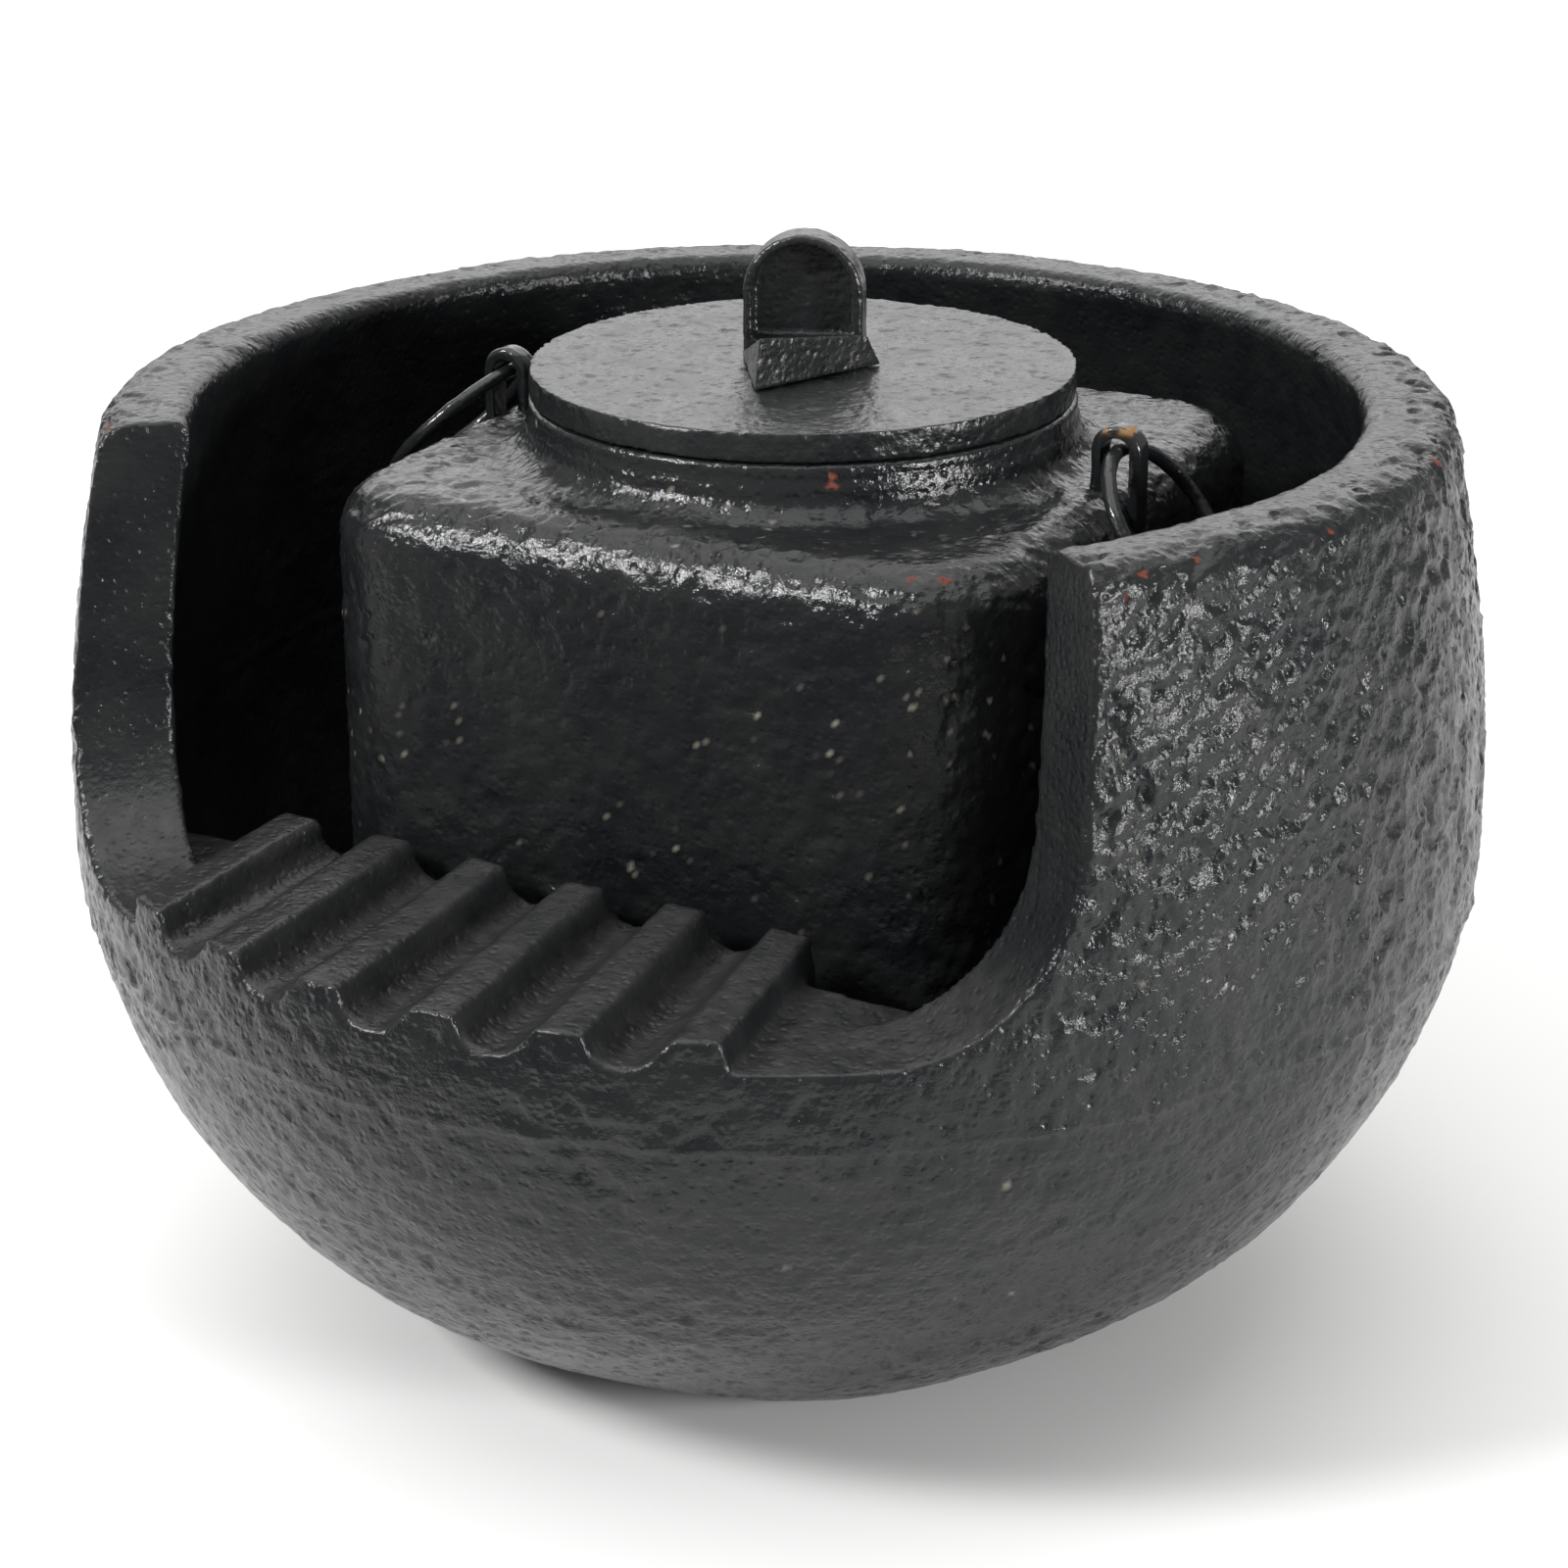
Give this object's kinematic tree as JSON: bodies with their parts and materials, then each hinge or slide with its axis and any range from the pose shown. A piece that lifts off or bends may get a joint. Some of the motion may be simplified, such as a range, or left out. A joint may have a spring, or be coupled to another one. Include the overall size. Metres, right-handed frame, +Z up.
{
  "type": "hibachi grill",
  "caption": "Round cast-iron table brazier with a cut-away front, a ribbed rest on its sill, and a lidded four-sided kettle on a trivet.",
  "frame": {"origin": "centre of the bowl's flat base, on the surface it stands on", "axes": "+Z up; the window in the bowl's wall faces -Y; +X is to the right of a person facing the window"},
  "size_m": [0.32, 0.32, 0.2483],
  "materials": {
    "bowl_iron": "black gloss paint over a rough sand casting",
    "kettle_iron": "black gloss paint over a rough sand casting",
    "lid_iron": "black satin paint over a finely pitted casting",
    "fire_iron": "bare iron, sooty and dull",
    "rod_steel": "black gloss paint",
    "rivet_steel": "dull black"
  },
  "bodies": {
    "bowl": {"brazier_bowl": "bowl_iron"},
    "grate": {"fire_grate": "fire_iron"},
    "trivet": {"trivet_ring": "fire_iron", "trivet_leg_1": "fire_iron", "trivet_leg_2": "fire_iron", "trivet_leg_3": "fire_iron", "trivet_rivets": "rivet_steel"},
    "kettle": {"kettle_body": "kettle_iron", "lug_left": "rod_steel", "lug_right": "rod_steel"},
    "left_ring": {"ring_left": "rod_steel"},
    "right_ring": {"ring_right": "rod_steel"},
    "lid": {"lid_plate": "lid_iron", "lid_knob": "lid_iron", "knob_foot": "lid_iron", "knob_washer": "rivet_steel", "knob_rivets": "rivet_steel"}
  },
  "joints": [
    {"name": "grate_lift", "type": "slide", "parent": "bowl", "child": "grate", "axis": [0, 0, 1], "range_m": [0, 0.05]},
    {"name": "trivet_lift", "type": "slide", "parent": "grate", "child": "trivet", "axis": [0, 0, 1], "range_m": [0, 0.05]},
    {"name": "kettle_lift", "type": "slide", "parent": "trivet", "child": "kettle", "axis": [0, 0, 1], "range_m": [0, 0.13]},
    {"name": "lid_lift", "type": "slide", "parent": "kettle", "child": "lid", "axis": [0, 0, 1], "range_m": [0, 0.06]},
    {"name": "ring_left_swing", "type": "hinge", "parent": "kettle", "child": "left_ring", "pos_m": [-0.0695, 0, 0.2096], "axis": [0, 1, 0], "range_deg": [0, 180]},
    {"name": "ring_right_swing", "type": "hinge", "parent": "kettle", "child": "right_ring", "pos_m": [0.0825, 0, 0.2096], "axis": [0, -1, 0], "range_deg": [0, 180]}
  ]
}
